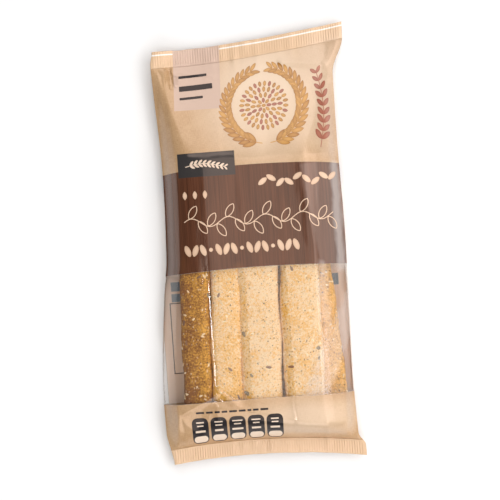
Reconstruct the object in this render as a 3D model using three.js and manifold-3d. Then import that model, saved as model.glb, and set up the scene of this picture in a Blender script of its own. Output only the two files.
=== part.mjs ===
import * as THREE from 'three';
import { mergeVertices } from 'three/addons/utils/BufferGeometryUtils.js';
import Module from 'manifold-3d';

// A flow-wrapped bag of breadsticks, lying on its back with the printed front up.
// Millimetres: X across the bag, Y along it towards the top seal, Z up from the table.
// The film is drawn tight over two layers of sticks, with a crimped seal at each end and a fin
// seal down the back. The printed film is one solid with what it hides. The clear film is a
// thin solid that closes the window over the sticks that show.

// Driving dimensions
const cutEdge = { bottom: -128.2, top: 121 };  // where the film is cut off, at the bag's middle
const sealHeight = { bottom: 9, top: 10 };     // the crimped end seals, along Y
const sealLift = { bottom: 6, top: 5 };        // the end seals, above the table
const sealThickness = 0.7;                     // both layers of film pressed together
const stickEnds = { bottomLeft: -93, bottomRight: -109, top: 49.5 };  // along Y
const filmTop = 26;                            // the film over the upper layer of sticks
const foldHeight = 8.5;                        // the side folds, above the table
const foldRound = 13;                          // how far in the back curls up to a side fold
const fin = { x: 2, width: 11, thickness: 0.55, bite: 0.3 };
const columns = 36;
const rows = { seal: 3, lowerSlope: 11, sticks: 20, upperSlope: 14 };

// The clear window: its ends along Y, how far it stays from the side folds, the thickness of
// its film, and the heights that it opens down to beside and under the upper sticks
const clearWindow = { bottom: -94, top: -17, inset: 3, thickness: 0.4, low: 4.5, ledge: 12.5 };
const ledgeEnds = [-46.5, 27.5];
const gap = 0.05;                              // between neighbouring solids

// The breadsticks: x of each one's top and bottom ends, its width, thickness and height above
// the table, its roll in degrees, and where its top end lies along Y
const stick = { length: 146, squareness: 2.9, endRound: 3.4, ring: 16 };
const sticks = {
  stick_upper_1: { x: [-36.4, -41.9], width: 17.2, thick: 11.6, z: 18.7, roll: 7, top: 50 },
  stick_upper_2: { x: [-19.3, -24.1], width: 16.2, thick: 11.6, z: 18.7, roll: -1, top: 50 },
  stick_upper_3: { x: [0.6, -2.5], width: 22.6, thick: 12.1, z: 18.9, roll: 1, top: 47 },
  stick_upper_4: { x: [24, 21.7], width: 23.6, thick: 12.1, z: 18.9, roll: 0, top: 43.5 },
  stick_lower_4: { x: [28.9, 38.4], width: 20.6, thick: 11.8, z: 6.8, roll: 0, top: 40 },
};

// The side folds in plan, each [along the bag, across it]. The left one stands off the sticks
// as a slack wing, and both flare to the full width of the flat film at the seals.
const leftFold = [[-128, -59.5], [-119, -61], [-110, -63], [-90, -63.3], [-31, -59], [-7, -55.8],
  [42, -54.5], [97, -56.7], [113, -57.3], [121, -55.9]];
const rightFold = [[-128, 56.6], [-121.5, 56.4], [-115.5, 52.4], [-90, 51.5], [6, 52.6],
  [60, 51.7], [93, 52], [111, 59.1], [121, 59.4]];

// The film over the sticks, from fold to fold: a crest where a stick carries it, a dip between.
// The left shoulder keeps its distance from the fold.
const shoulder = [[5.5, 17], [10.5, filmTop - 2.3]];
const crests = [[-29, filmTop + 0.1], [-19.5, filmTop - 0.9], [0, filmTop + 0.3], [11, filmTop - 0.9],
  [25, filmTop + 0.4], [37, filmTop - 1.6], [45, 19]];

// Lines that the film is pulled into, from a corner of the sticks towards a corner of the bag.
// A negative rise is a furrow.
const tensionLines = [
  { from: [30, 46], to: [59, 114], rise: 2.2, spread: 5 },
  { from: [-37, 46], to: [-53, 104], rise: 1.8, spread: 5 },
  { from: [-29, -88], to: [-54, -101], rise: 1.7, spread: 3.4 },
  { from: [-29, -88], to: [-19, -98], rise: 1.3, spread: 3 },
  { from: [-54, -101], to: [-58, -118], rise: 1.4, spread: 3 },
  { from: [-29, -2], to: [-29, -88], rise: 0.8, spread: 3 },
  { from: [39, -4], to: [30, 46], rise: 0.9, spread: 4 },
  { from: [-53, 108], to: [-44, 96], rise: -1.6, spread: 3.4 },
];

// The seals' free edges sway, and one corner of each curls up
const sealSway = {
  bottom: { height: 0.9, wave: 13, shift: 0.6 },
  top: { height: 0.8, wave: 17, shift: -0.4 },
};
const cornerCurl = {
  bottom: { x: 60, reach: 12, height: 2 },
  top: { x: -56, reach: 15, height: 5.5 },
};

// The seals' inner edges, where the film starts to rise
const bottomSeal = cutEdge.bottom + sealHeight.bottom;
const topSeal = cutEdge.top - sealHeight.top;

const clamp = (value) => Math.min(1, Math.max(0, value));
const mix = (a, b, t) => a + (b - a) * t;
const ease = (t) => clamp(t) ** 2 * (3 - 2 * clamp(t));
const bell = (t) => Math.exp(-(t ** 2));

// A smooth line through stations, each [position, value], that never overshoots them
function through(stations, at) {
  const last = stations.length - 1;
  if (at <= stations[0][0]) return stations[0][1];
  if (at >= stations[last][0]) return stations[last][1];
  const slopeBefore = (k) => (stations[k][1] - stations[k - 1][1]) / (stations[k][0] - stations[k - 1][0]);
  const slopeAt = (k) => {
    if (k === 0 || k === last) return 0;
    const [before, after] = [slopeBefore(k), slopeBefore(k + 1)];
    return before * after <= 0 ? 0 : (2 * before * after) / (before + after);
  };
  const next = stations.findIndex((station) => station[0] > at);
  const [[x0, y0], [x1, y1]] = [stations[next - 1], stations[next]];
  const span = x1 - x0;
  const t = (at - x0) / span;
  return y0 + (y1 - y0) * ease(t)
    + span * t * (1 - t) * ((1 - t) * slopeAt(next - 1) - t * slopeAt(next));
}

// How far the sticks fill the bag at a point of the film: 0 at a seal, 1 over the sticks.
// Below the sticks the film drops steeply, and above them it slopes off like a tent.
function fillAt(x, along) {
  const lowerEnd = mix(stickEnds.bottomLeft, stickEnds.bottomRight, ease((x + 45) / 80));
  const lower = clamp((along - bottomSeal) / (lowerEnd - bottomSeal));
  const upper = clamp((topSeal - along) / (topSeal - stickEnds.top));
  const tent = mix(upper, Math.sin((Math.PI / 2) * upper), 0.28);
  return Math.min(Math.sin((Math.PI / 2) * lower) ** 0.8, tent);
}

// Height of the seal that this half of the bag runs into
function sealAt(x, along) {
  const end = along < 0 ? 'bottom' : 'top';
  const [sway, curl] = [sealSway[end], cornerCurl[end]];
  return sealLift[end] + sway.height * Math.sin(x / sway.wave + sway.shift)
    + curl.height * bell((x - curl.x) / curl.reach);
}

// Height that the tension lines add to the film: where they meet, the strongest one holds
function tensionAt(x, along) {
  let strongest = 0;
  for (const { from, to, rise, spread } of tensionLines) {
    const [dx, dy] = [to[0] - from[0], to[1] - from[1]];
    const t = clamp(((x - from[0]) * dx + (along - from[1]) * dy) / (dx * dx + dy * dy));
    const away = Math.hypot(x - from[0] - t * dx, along - from[1] - t * dy);
    const pull = rise * bell(away / spread) * (1 - 0.5 * t);
    if (Math.abs(pull) > Math.abs(strongest)) strongest = pull;
  }
  return strongest;
}

// The top seal runs uphill to the right and sags in its middle, and the bottom seal bows
const topTilt = (x) => 0.095 * x + 1.9 * (x / 57) ** 2;
const bottomBow = (x) => 3 * ((x + 9) / 50) ** 2;

// The back panel lies on the table, with a shallow trough round the fin seal
function backHeight(x, along, seal) {
  const down = ease((along - bottomSeal) / 10) * ease((topSeal - along) / 34);
  const trough = fin.thickness * ease((fin.width / 2 + 4.5 - Math.abs(x - fin.x)) / 4);
  return mix(seal, trough, down);
}

// One point of the film. across runs from 0 at the left fold to 1 at the right one, and the
// front can be drawn a little lower, for the inside of the film.
function filmPoint(across, along, side, lowered = 0) {
  const [left, right] = [through(leftFold, along), through(rightFold, along)];
  const x = mix(left, right, across);
  const y = along + topTilt(x) * ease((along - 50) / 60) - bottomBow(x) * ease((-100 - along) / 20);
  const inside = Math.min(x - left, right - x);
  const fill = fillAt(x, along);
  const seal = sealAt(x, along);
  const half = (sealThickness / 2) * clamp(inside / 2);
  if (side === 'back') {
    const flat = Math.sqrt(1 - (1 - clamp(inside / foldRound)) ** 2);
    return [x, y, mix(mix(seal, foldHeight, fill), backHeight(x, along, seal - half), flat)];
  }
  const stations = [[left, foldHeight], ...shoulder.map(([reach, z]) => [left + reach, z]), ...crests,
    [right, foldHeight]];
  const section = through(stations, x);
  const toCut = Math.min(cutEdge.top - along, along - cutEdge.bottom);
  const pull = tensionAt(x, along) * clamp(inside / 4) * clamp(toCut / 12);
  return [x, y, mix(seal, section, fill) + pull + half - lowered * clamp(inside / 2)];
}

// The rows of faces along the film: dense over the seals and the slopes
function rowPositions() {
  const stretches = [
    [bottomSeal, rows.seal],
    [stickEnds.bottomLeft, rows.lowerSlope],
    [stickEnds.top, rows.sticks],
    [topSeal, rows.upperSlope],
    [cutEdge.top, rows.seal],
  ];
  const found = [cutEdge.bottom];
  for (const [end, count] of stretches) {
    const start = found.at(-1);
    for (let i = 1; i <= count; i += 1) found.push(mix(start, end, i / count));
  }
  return found;
}

// Columns crowd towards the folds, where the film turns hardest
const columnAt = (i) => i / columns - 0.045 * Math.sin((2 * Math.PI * i) / columns);

// Front and back share the two side folds, and a thin wall closes each cut edge
function bagGeometry(lowered = 0) {
  const along = rowPositions();
  const position = [];
  const index = [];
  const addPoint = (i, a, side) => position.push(...filmPoint(columnAt(i), a, side, lowered)) / 3 - 1;
  const front = along.map((a) => Array.from({ length: columns + 1 }, (_, i) => addPoint(i, a, 'front')));
  const back = along.map((a, j) => front[j].map((shared, i) => (
    i === 0 || i === columns ? shared : addPoint(i, a, 'back'))));
  const quad = (a, b, c, d) => index.push(a, b, c, a, c, d);
  for (let j = 0; j < along.length - 1; j += 1) {
    for (let i = 0; i < columns; i += 1) {
      quad(front[j][i], front[j][i + 1], front[j + 1][i + 1], front[j + 1][i]);
      quad(back[j][i], back[j + 1][i], back[j + 1][i + 1], back[j][i + 1]);
    }
  }
  const end = along.length - 1;
  for (let i = 0; i < columns; i += 1) {
    quad(back[0][i], back[0][i + 1], front[0][i + 1], front[0][i]);
    quad(front[end][i], front[end][i + 1], back[end][i + 1], back[end][i]);
  }
  return geometryOf(position, index);
}

// The fin seal: a flap welded down the back and pressed flat, from end seal to end seal
function finGeometry() {
  const along = rowPositions().filter((a) => a >= bottomSeal && a <= topSeal);
  const position = [];
  const index = [];
  for (const a of along) {
    const [left, right] = [through(leftFold, a), through(rightFold, a)];
    for (const x of [fin.x - fin.width / 2, fin.x + fin.width / 2]) {
      const [, y, z] = filmPoint((x - left) / (right - left), a, 'back');
      position.push(x, y, z - fin.thickness, x, y, z + fin.bite);
    }
  }
  const quad = (a, b, c, d) => index.push(a, b, c, a, c, d);
  for (let j = 0; j < along.length - 1; j += 1) {
    const [a, b] = [4 * j, 4 * (j + 1)];
    quad(a, b, b + 2, a + 2);
    quad(a + 1, a + 3, b + 3, b + 1);
    quad(a, a + 1, b + 1, b);
    quad(a + 2, b + 2, b + 3, a + 3);
  }
  const end = 4 * (along.length - 1);
  quad(0, 2, 3, 1);
  quad(end, end + 1, end + 3, end + 2);
  return geometryOf(position, index);
}

function geometryOf(position, index) {
  const geometry = new THREE.BufferGeometry();
  geometry.setAttribute('position', new THREE.Float32BufferAttribute(position, 3));
  geometry.setIndex(index);
  return geometry;
}

const wasm = await Module();
wasm.setup();

function solidOf(geometry) {
  const merged = mergeVertices(geometry, 1e-4);
  return new wasm.Manifold(new wasm.Mesh({
    numProp: 3,
    vertProperties: merged.attributes.position.array,
    triVerts: new Uint32Array(merged.index.array),
  }));
}

function geometryFrom(solid) {
  const { vertProperties, triVerts } = solid.getMesh();
  const geometry = geometryOf(Array.from(vertProperties), Array.from(triVerts));
  geometry.computeVertexNormals();
  return geometry;
}

// A breadstick, lofted along Y from rounded end to rounded end, grown all round by a margin
function stickGeometry({ x: [xHigh, xLow], width, thick, z, roll, top }, margin) {
  const position = [];
  const index = [];
  const fromEnd = [0, 0.5, 1.6, stick.endRound];
  const offsets = [...fromEnd, ...fromEnd.map((d) => stick.length - d).reverse()];
  const [c, s] = [Math.cos((roll * Math.PI) / 180), Math.sin((roll * Math.PI) / 180)];
  const signedPower = (value) => Math.sign(value) * Math.abs(value) ** (2 / stick.squareness);
  for (const offset of offsets) {
    const near = clamp(Math.min(offset, stick.length - offset) / stick.endRound);
    const close = mix(0.45, 1, (1 - (1 - near) ** 2.4) ** (1 / 2.4));
    const y = top - offset;
    const middle = mix(xHigh, xLow, offset / stick.length);
    for (let i = 0; i < stick.ring; i += 1) {
      const turn = (2 * Math.PI * (i + 0.5)) / stick.ring;
      const u = signedPower(Math.cos(turn)) * (width / 2 * close + margin);
      const v = signedPower(Math.sin(turn)) * (thick / 2 * close + margin);
      const out = margin * Math.sign(stick.length / 2 - offset);
      position.push(middle + u * c - v * s, y + out, z + u * s + v * c);
    }
  }
  const last = offsets.length - 1;
  for (let j = 0; j < last; j += 1) {
    for (let i = 0; i < stick.ring; i += 1) {
      const n = (i + 1) % stick.ring;
      const [a, b] = [j * stick.ring, (j + 1) * stick.ring];
      index.push(a + i, b + n, b + i, a + i, a + n, b + n);
    }
  }
  for (let i = 1; i < stick.ring - 1; i += 1) {
    index.push(0, i + 1, i);
    index.push(last * stick.ring, last * stick.ring + i, last * stick.ring + i + 1);
  }
  return geometryOf(position, index);
}

// The window's outline in plan, following the side folds, drawn in by a margin
function windowPrism(margin) {
  const along = rowPositions().filter((a) => a > clearWindow.bottom + 1 && a < clearWindow.top - 1);
  const ends = [clearWindow.bottom + margin, ...along, clearWindow.top - margin];
  const inset = clearWindow.inset + margin;
  const right = ends.map((a) => [through(rightFold, a) - inset, a]);
  const left = ends.map((a) => [through(leftFold, a) + inset, a]).reverse();
  return new wasm.CrossSection([[...right, ...left]]).extrude(60);
}

// What is cut out under the window: down to a ledge under the upper sticks, lower beside them
function windowSpace() {
  const { low, ledge } = clearWindow;
  const section = new wasm.CrossSection([[[-90, low], [ledgeEnds[0], low], [ledgeEnds[0], ledge],
    [ledgeEnds[1], ledge], [ledgeEnds[1], low], [90, low], [90, 60], [-90, 60]]]);
  return section.extrude(300).rotate([90, 0, 0]).translate([0, 150, 0]).intersect(windowPrism(0));
}

function meshOf(name, solid, color, roughness) {
  const material = new THREE.MeshStandardMaterial({ color, roughness, metalness: 0 });
  const mesh = new THREE.Mesh(geometryFrom(solid), material);
  mesh.name = name;
  return mesh;
}

function filmBag() {
  let printed = solidOf(bagGeometry()).add(solidOf(finGeometry())).subtract(windowSpace());
  for (const spec of Object.values(sticks)) {
    printed = printed.subtract(solidOf(stickGeometry(spec, gap)));
  }
  return meshOf('film_bag', printed, 0xdcc3a0, 0.32);
}

function windowFilm() {
  const sheet = solidOf(bagGeometry()).subtract(solidOf(bagGeometry(clearWindow.thickness)));
  return meshOf('window_film', sheet.intersect(windowPrism(gap)), 0xf0ece4, 0.1);
}

const breadstick = (name) => meshOf(name, solidOf(stickGeometry(sticks[name], 0)), 0xd9a35c, 0.8);

// The origin is on the table, under the middle of the bag
const pack = new THREE.Group();
const bag = filmBag();
bag.geometry.computeBoundingBox();
const { min, max } = bag.geometry.boundingBox;
for (const mesh of [bag, windowFilm(), ...Object.keys(sticks).map(breadstick)]) {
  mesh.position.set(-(min.x + max.x) / 2, -(min.y + max.y) / 2, -min.z);
  pack.add(mesh);
}

export default pack;
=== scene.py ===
import math

import bpy
import numpy as np
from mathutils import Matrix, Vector


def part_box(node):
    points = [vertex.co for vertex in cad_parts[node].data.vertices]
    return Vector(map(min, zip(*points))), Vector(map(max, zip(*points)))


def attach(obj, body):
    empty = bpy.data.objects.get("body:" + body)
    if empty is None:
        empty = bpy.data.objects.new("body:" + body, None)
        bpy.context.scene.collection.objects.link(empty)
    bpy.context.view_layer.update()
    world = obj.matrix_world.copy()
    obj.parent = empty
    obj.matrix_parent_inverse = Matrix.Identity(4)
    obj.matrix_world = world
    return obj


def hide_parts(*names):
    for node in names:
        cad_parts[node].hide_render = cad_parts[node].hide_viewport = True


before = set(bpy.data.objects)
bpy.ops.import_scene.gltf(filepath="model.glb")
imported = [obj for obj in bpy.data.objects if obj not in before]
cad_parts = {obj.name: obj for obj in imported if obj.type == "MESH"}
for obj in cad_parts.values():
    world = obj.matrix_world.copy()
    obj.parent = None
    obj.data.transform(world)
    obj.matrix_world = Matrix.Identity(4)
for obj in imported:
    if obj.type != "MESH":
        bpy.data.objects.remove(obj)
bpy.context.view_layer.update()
millimetre = 0.001

# Shapes are worked out in millimetres on the bag's own drawing: x across it, y along it towards
# the top seal, z up from the table. toFrame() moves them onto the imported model.


def toFrame(points):
    return (np.asarray(points, float) + bagShift) * millimetre


def clamp(value):
    return np.clip(value, 0, 1)


def mix(a, b, t):
    return a + (b - a) * t


def ease(t):
    return clamp(t) ** 2 * (3 - 2 * clamp(t))


def bell(t):
    return np.exp(-np.square(t))


def through(stations, at):  # a smooth curve through stations that never overshoots them
    xs, ys = np.array(stations, float).T
    rise = np.diff(ys) / np.diff(xs)
    slope = np.zeros(len(xs))
    same = rise[:-1] * rise[1:] > 0
    slope[1:-1][same] = 2 * (rise[:-1] * rise[1:])[same] / (rise[:-1] + rise[1:])[same]
    at = np.clip(at, xs[0], xs[-1])
    k = np.clip(np.searchsorted(xs, at, side="right") - 1, 0, len(xs) - 2)
    span = xs[k + 1] - xs[k]
    t = (at - xs[k]) / span
    turn = (1 - t) * slope[k] - t * slope[k + 1]
    return ys[k] + (ys[k + 1] - ys[k]) * ease(t) + span * t * (1 - t) * turn


def noise(places, seed, size):  # smooth random hills from -1 to 1, one to a unit
    dims = places.shape[-1]
    lattice = np.random.default_rng(seed).uniform(-1, 1, [size] * dims)
    cell = np.floor(places).astype(int)
    f = ease(places - cell)
    total = 0
    for corner in np.ndindex(*[2] * dims):
        c = (cell + corner) % size
        weight = np.prod(np.where(corner, f, 1 - f), axis=-1)
        total = total + weight * lattice[tuple(np.moveaxis(c, -1, 0))]
    return total


def noise2(u, v, seed):
    return noise(np.stack(np.broadcast_arrays(u, v), -1), seed, 61)


def noise3(places, seed):
    return noise(places, seed, 23)


def gridFaces(rows, columns, flip=False, ring=False):
    j, i = np.mgrid[0:rows - 1, 0:columns if ring else columns - 1]
    n = (i + 1) % columns
    below, above = j * columns, (j + 1) * columns
    quads = np.stack([below + i, below + n, above + n, above + i], -1).reshape(-1, 4)
    return (quads[:, ::-1] if flip else quads).tolist()


def closedFaces(rows, ring):  # rings of points, then one point for each end
    last = rows * ring
    faces = gridFaces(rows, ring, ring=True)
    for i in range(ring):
        n = (i + 1) % ring
        faces += [[last, n, i], [last + 1, last - ring + i, last - ring + n]]
    return faces


def addObject(name, data):
    made = bpy.data.objects.new(name, data)
    bpy.context.scene.collection.objects.link(made)
    return made


def makePiece(name, points, faces, material, smooth=True, **attributes):
    mesh = bpy.data.meshes.new(name)
    mesh.from_pydata(toFrame(points).tolist(), [], faces)
    for key, values in attributes.items():
        values = np.asarray(values, np.float32)
        kind, field = ("FLOAT_VECTOR", "vector") if values.ndim == 2 else ("FLOAT", "value")
        mesh.attributes.new(key, kind, "POINT").data.foreach_set(field, values.ravel())
    mesh.polygons.foreach_set("use_smooth", [smooth] * len(mesh.polygons))
    mesh.materials.append(material)
    mesh.update()
    piece = addObject(name, mesh)
    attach(piece, "root")
    return piece


# Shader helpers: a value may be a number, a colour or another node's output

def addNode(tree, kind, inputs=None, **settings):  # gives the node's outputs
    made = tree.nodes.new("ShaderNode" + kind)
    for name, value in settings.items():
        setattr(made, name, value)
    for name, value in (inputs or {}).items():
        plug(tree, made.inputs[name], value)
    return made.outputs


def plug(tree, socket, value):
    if isinstance(value, bpy.types.NodeSocket):
        tree.links.new(value, socket)
    elif isinstance(value, tuple) and socket.type == "RGBA":
        socket.default_value = (*value, 1)[:4]
    else:
        socket.default_value = value


def calc(tree, operation, *values):
    return addNode(tree, "Math", dict(enumerate(values)), operation=operation)[0]


def times(tree, a, b):
    return calc(tree, "MULTIPLY", a, b)


def plus(tree, a, b):
    return calc(tree, "ADD", a, b)


def minus(tree, a, b):
    return calc(tree, "SUBTRACT", a, b)


def blend(tree, share, a, b, way="MIX"):
    settings = {"data_type": "RGBA", "blend_type": way, "clamp_factor": True}
    return addNode(tree, "Mix", {0: share, 6: a, 7: b}, **settings)[2]


def ramp(tree, value, low, high, start=0.0, end=1.0):
    bounds = {"Value": value, "From Min": low, "From Max": high, "To Min": start, "To Max": end}
    return addNode(tree, "MapRange", bounds, clamp=True)[0]


def stretched(tree, place, scale, turn=0.0):
    inputs = {"Vector": place, "Scale": scale, "Rotation": (0, 0, turn)}
    return addNode(tree, "Mapping", inputs)[0]


def noiseAt(tree, place, scale, detail, rough=0.5):
    inputs = {"Vector": place, "Scale": scale, "Detail": detail, "Roughness": rough}
    return addNode(tree, "TexNoise", inputs)["Fac"]


def streaksAt(tree, place, across, along, detail, rough=0.5, turn=0.0):  # noise with its own pitch each way
    return noiseAt(tree, stretched(tree, place, (across, along, 0), turn), 1.0, detail, rough)


def bumpOf(tree, height, strength, distance):
    inputs = {"Height": height, "Strength": strength, "Distance": distance}
    return addNode(tree, "Bump", inputs)[0]


def attribute(tree, name):
    return addNode(tree, "Attribute", attribute_name=name)


def startGroup(name, inputs, outputs):
    tree = bpy.data.node_groups.new(name, "ShaderNodeTree")
    kinds = {"vector": "NodeSocketVector", "colour": "NodeSocketColor", "value": "NodeSocketFloat"}
    for label, kind in inputs.items():
        tree.interface.new_socket(name=label, in_out="INPUT", socket_type=kinds[kind])
    for label, kind in outputs.items():
        tree.interface.new_socket(name=label, in_out="OUTPUT", socket_type=kinds[kind])
    return tree, tree.nodes.new("NodeGroupInput").outputs, tree.nodes.new("NodeGroupOutput").inputs


def useGroup(tree, group, **inputs):
    return addNode(tree, "Group", inputs, node_tree=group)


def startMaterial(name, **values):
    material = bpy.data.materials.new(name)
    material.use_nodes = True
    tree = material.node_tree
    shader = tree.nodes["Principled BSDF"]
    for label, value in values.items():
        plug(tree, shader.inputs[label.replace("_", " ")], value)
    return material, tree, shader

# sticks

stickForm = {
    "length": 146.0, "rows": 210, "ring": 84,
    "squareness": 2.9,      # 2 would be an ellipse
    "endRound": 3.4, "endPower": 2.4, "endTip": 0.02,
    "underside": 0.75,      # its lowest height above the table
    # how far it strays from straight and even, and over what length
    "sway": (0.6, 21), "swell": (0.045, 19), "thicken": (0.05, 15),
    # depth and size of the lumps and dents in the crust
    "relief": (0.32, (9, 14, 9)), "dimple": (0.24, 3.1), "crumb": (0.15, 1.3), "fineCrumb": (0.09, 0.75),
    "bend": (0.5, 6), "pits": (0.6, 1.9), "pitRarity": 0.45,
    # toasting by the ends and how far it reaches, at the sides, at the tips, and in clouds of what size
    "toastEnds": 0.8, "toastReach": 8, "toastSides": 0.8, "toastTips": 0.9,
    "toastClouds": (0.5, (11, 16, 11)),
    "apart": 7.3,           # how far apart two sticks lie in the noise
}
# x of its top and bottom ends, width, thickness, height of its middle, roll, top end, toasting,
# how much more its left side is toasted
sticks = {
    "stick_upper_1": (-36.4, -41.9, 17.8, 11.6, 17.8, 11, 50.0, 1.24, 0.42),
    "stick_upper_2": (-19.0, -23.8, 18.6, 11.6, 18.7, -1, 50.0, 0.36, -0.15),
    "stick_upper_3": (-0.2, -3.6, 24.6, 12.1, 18.9, 1, 47.0, 0.14, 0.15),
    "stick_upper_4": (24.0, 21.7, 24.0, 12.1, 18.9, 0, 43.5, 0.24, 0.1),
    "stick_lower_1": (-33.0, -35.5, 20.2, 11.8, 6.7, 0, 46.0, 0.4, 0),
    "stick_lower_2": (-12.4, -6.0, 20.2, 11.8, 6.7, 0, 46.0, 0.3, 0),
    "stick_lower_3": (8.2, 16.4, 20.2, 11.8, 6.7, 0, 44.0, 0.3, 0),
    "stick_lower_4": (28.9, 38.4, 20.6, 11.8, 6.8, 0, 40.0, 0.55, -0.6),
}


def lumps(kind, spot, seed, shift=0):
    depth, size = stickForm[kind]
    return depth * noise3(spot / size + shift, seed)


def stray(kind, y, lane, seed, shift=0):
    most, length = stickForm[kind]
    return most * noise2(y / length + shift, lane, seed)


def stickShape(spec, seed):
    form = stickForm
    xTop, xBottom, width, thick, height, roll, end, toasting, leftMore = spec
    y = (end - np.linspace(0, 1, form["rows"]) * form["length"])[:, None]
    turn = np.arange(form["ring"])[None] / form["ring"] * 2 * math.pi
    power = 2 / form["squareness"]
    cx, cz = (np.sign(way) * np.abs(way) ** power for way in (np.cos(turn), np.sin(turn)))
    toEnd = np.minimum(end - y, y - (end - form["length"]))
    power = form["endPower"]
    close = (1 - (1 - clamp(toEnd / form["endRound"])) ** power) ** (1 / power)
    close = np.maximum(close, form["endTip"])
    wide = width / 2 * close * (1 + stray("swell", y, seed, seed))
    tall = thick / 2 * close * (1 + stray("thicken", y, seed, seed + 1, 9))
    local = np.stack([cx * wide, (y - end) + 0 * cx, cz * tall], -1)
    spot = local + seed * form["apart"]
    away = np.stack([cx + 0 * y, 0 * cx * y, cz + 0 * y], -1)
    away /= np.linalg.norm(away, axis=-1, keepdims=True)
    kinds = ("relief", "dimple", "crumb", "fineCrumb")
    relief = sum(lumps(kind, spot, seed + i) for i, kind in enumerate(kinds))
    depth, size = form["pits"]
    relief += np.minimum(noise3(spot / size + 40, seed + 4) + form["pitRarity"], 0) * depth
    local = local + away * (relief * close)[..., None]
    a = math.radians(roll)
    middle = mix(xTop, xBottom, (end - y) / form["length"]) + stray("sway", y, seed, seed + 7, 4)
    x = local[..., 0] * math.cos(a) - local[..., 2] * math.sin(a) + middle
    z = local[..., 0] * math.sin(a) + local[..., 2] * math.cos(a) + height
    bend = lumps("bend", spot, seed + 5, 60) * close
    points = np.stack([x, y + bend, np.maximum(z, form["underside"])], -1)
    toast = form["toastEnds"] * (1 - toEnd / form["toastReach"]) + form["toastSides"] * np.abs(cx) ** 3
    toast = clamp(toast + lumps("toastClouds", spot, seed + 6, 80)) - leftMore * cx
    return {"points": points, "spot": spot, "toast": toast, "toasting": toasting}


def makeStick(name, shape, material):
    rows, ring = shape["points"].shape[:2]
    points, places = (np.concatenate([shape[key].reshape(-1, 3), shape[key][[0, -1]].mean(1)])
                      for key in ("points", "spot"))
    toast = np.append(shape["toast"].ravel(), [stickForm["toastTips"]] * 2)
    toasting = np.full(len(points), shape["toasting"])
    piece = makePiece(name.replace("stick", "bread"), points, closedFaces(rows, ring), material,
                      crumbPlace=places, toast=toast, toasting=toasting)
    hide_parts(name if name in solidSticks else "film_bag")


solidSticks = ["stick_upper_1", "stick_upper_2", "stick_upper_3", "stick_upper_4", "stick_lower_4"]
stickShapes = {name: stickShape(spec, 11 + 10 * i) for i, (name, spec) in enumerate(sticks.items())}

# the film bag's form

bagForm = {
    "cutBottom": -128.2, "cutTop": 121.0,       # the film's cut edges at the bag's middle
    "sealBottom": 9.0, "sealTop": 10.0,         # how wide the crimped seals are
    "sealThickness": 0.7,
    "topTilt": 0.095, "topBow": 1.9, "footBow": 3.0,    # how the cut edges lean and bow
    "sticksBottomLeft": -93.0, "sticksBottomRight": -109.0, "sticksTop": 49.5,
    "filmTop": 26.0, "foldHeight": 8.5, "foldRound": 13.0,
    "finX": 2.0, "finWidth": 11.0, "finThickness": 0.55, "finSlope": 4.5,
    "backColumns": 58, "frontPerBack": 4, "rows": 340,
    "gather": 0.5, "gatherReach": 11,           # wrinkles by the seals
    "slack": 0.14, "ripple": 0.02,              # soft and fine waves
    "taut": 0.35, "tautWidth": 4.5, "tautAt": (-15.5, 10),  # the film bridges these dips under its print
    "overSticks": 0.3, "drapeBlend": 0.7, "drapeReach": 3, "touchReach": 0.3,
    "topTent": 0.28, "footPower": 0.8,          # how the film rises from each seal
}
# how a seal lies: its height above the table, a wave's height, length and start, and a corner that
# lifts: how high, where and how wide
sealLies = {"bottom": (6, (0.9, 13, 0.6), (2, 60, 12)), "top": (5, (0.8, 17, -0.4), (5.5, -56, 15))}
# the side folds: place along the bag, x
leftFold = [(-128, -59.5), (-119, -61), (-110, -63), (-90, -63.3), (-31, -59), (-7, -55.8),
            (42, -54.5), (97, -56.7), (113, -57.3), (121, -55.9)]
rightFold = [(-128, 56.6), (-121.5, 56.4), (-115.5, 52.4), (-90, 51.5), (6, 52.6),
             (60, 51.7), (93, 52), (111, 59.1), (121, 59.4)]
filmTop = bagForm["filmTop"]
shoulder = [(5.5, 17.3), (9, filmTop - 4.1)]  # how far in from the left fold, height
crests = [(x, filmTop + above) for x, above in (  # the film's height over the sticks
    (-41, -1.65), (-34, -0.25), (-29.75, 0.38), (-25.5, 0.5), (-20, 0.3), (-15.5, -0.4), (-8, 0), (3, 0.2),
    (10, -0.5), (16.5, 0), (29, 0.35), (37, -1.6), (45, -7))]
# creases: from, to, rise, widths of the left and right slopes, how much it fades on the way
creases = [
    ((59, 114), (28, 46), 1.0, 8, 8, 0.5), ((-53, 104), (-35, 40), 1.2, 8, 8, 1.0),
    ((-29, -88), (-54, -101), 1.4, 3.5, 3, 0.3), ((-29, -88), (-15, -100), 1.2, 3, 3, 0.5),
    ((-54, -101), (-57, -118), 1.4, 3, 3.5, 0.5), ((-54, -101), (-40, -117), 0.9, 4, 3, 0.7),
    ((33, -6), (28, 46), 0.9, 7, 8, 0.5), ((33, -6), (32, -94), 0.8, 8, 8, 0.5),
    ((-49.3, 109), (-50.2, 90), 1.3, 5, 1.6, 0.5), ((-46.4, 109), (-45.5, 98), -1.1, 1.6, 2.6, 0.5),
    ((-43.4, 104), (-43, 100), 1.0, 2, 2, 0.5), ((-44, 108), (-20, 103), 0.8, 3, 4, 0.5),
    ((22, 104), (46, 98), 0.7, 3, 4, 0.5),
]
bottomSeal = bagForm["cutBottom"] + bagForm["sealBottom"]
topSeal = bagForm["cutTop"] - bagForm["sealTop"]


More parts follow.
